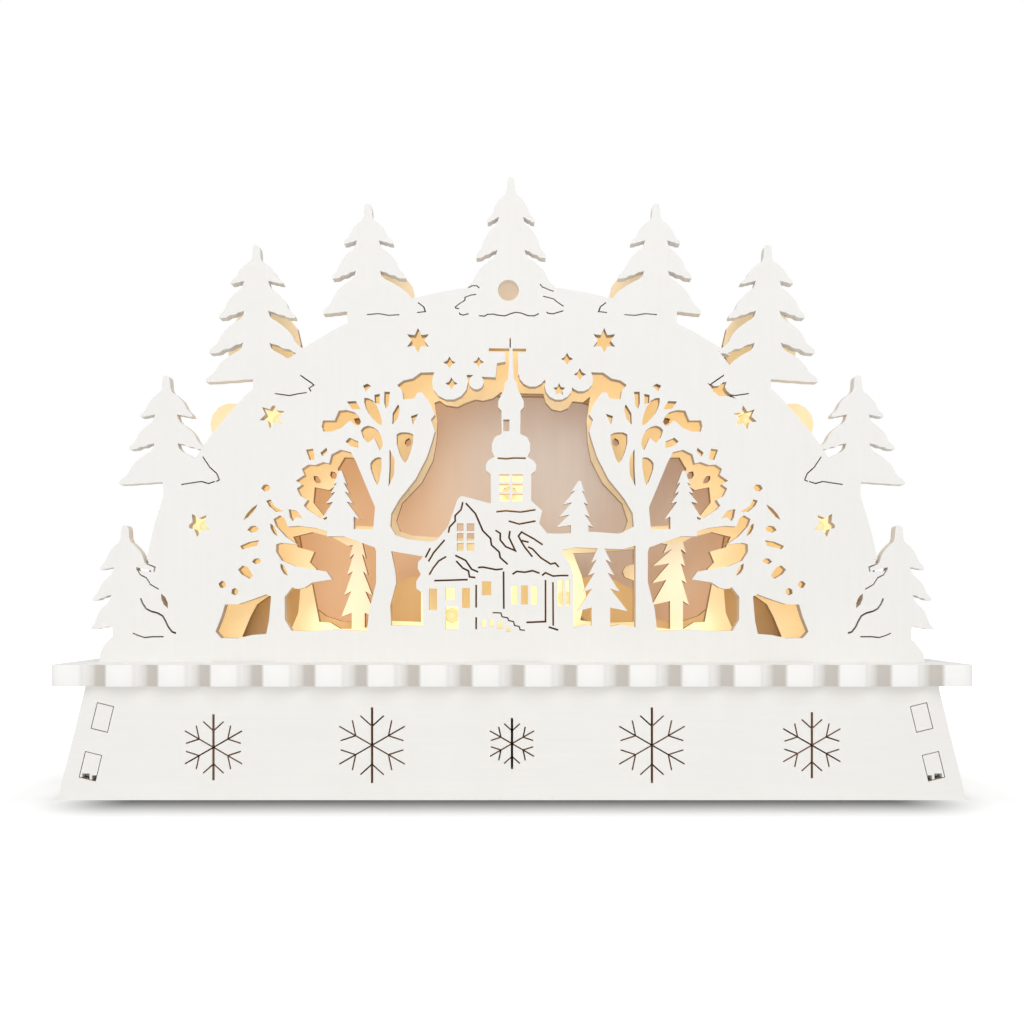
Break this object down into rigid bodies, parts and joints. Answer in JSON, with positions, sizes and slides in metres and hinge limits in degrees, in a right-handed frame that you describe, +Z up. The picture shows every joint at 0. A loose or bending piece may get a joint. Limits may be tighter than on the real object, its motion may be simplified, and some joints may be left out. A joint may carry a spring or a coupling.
{
  "type": "light arch",
  "caption": "Wooden LED candle holder: layered fretwork arch of firs, church and stars on a box base with snowflake cut-outs, scalloped board and battery box.",
  "frame": {"origin": "centre of the footprint, on the surface that the base stands on", "axes": "+X along the length, to the right of someone who faces the front; -Y out of the front plate towards the viewer; +Z up"},
  "size_m": [0.344, 0.076, 0.24],
  "materials": {
    "white_paint": "matt white paint on plywood, with brown laser cut edges",
    "lit_ply": "pale bare plywood, warm where the LEDs light it",
    "tan_ply": "light tan plywood, matt",
    "back_ply": "smooth brown-grey plywood, matt",
    "bare_wood": "sanded beech dowel",
    "warm_led": "clear warm epoxy dome",
    "lead_sleeve": "soft white sleeve",
    "black_plastic": "fine grained moulded plastic",
    "switch_plastic": "moulded plastic knob",
    "cell_sleeve": "plain printed sleeve on a steel can",
    "contact_metal": "nickel plated steel"
  },
  "bodies": {
    "arch": {"front_plate": "white_paint", "middle_plate": "lit_ply", "rear_scene_plate": "tan_ply", "back_panel": "back_ply", "spacer_dowel_1": "bare_wood", "spacer_dowel_2": "bare_wood", "spacer_dowel_3": "bare_wood", "spacer_dowel_4": "bare_wood", "led_1": "warm_led", "led_2": "warm_led", "led_3": "warm_led", "led_4": "warm_led", "led_5": "warm_led", "led_6": "warm_led", "led_7": "warm_led", "led_8": "warm_led", "led_9": "warm_led", "led_10": "warm_led", "battery_box": "black_plastic", "battery_1": "cell_sleeve", "battery_2": "cell_sleeve", "contact_bridge": "contact_metal", "contact_positive": "contact_metal", "contact_negative": "contact_metal", "switch_body": "contact_metal", "box_screw_1": "contact_metal", "box_screw_2": "contact_metal", "arch_lead": "lead_sleeve", "scene_lead": "lead_sleeve", "top_board": "white_paint", "base_front_panel": "white_paint", "base_rear_panel": "white_paint", "base_end_right": "white_paint", "base_end_left": "white_paint"},
    "battery_cover": {"battery_cover": "black_plastic"},
    "switch_slider": {"switch_slider": "switch_plastic"}
  },
  "joints": [
    {"name": "cover_slide", "type": "slide", "parent": "arch", "child": "battery_cover", "axis": [-1, 0, 0], "range_m": [0, 0.046]},
    {"name": "switch_slide", "type": "slide", "parent": "arch", "child": "switch_slider", "axis": [1, 0, 0], "range_m": [0, 0.004]}
  ]
}
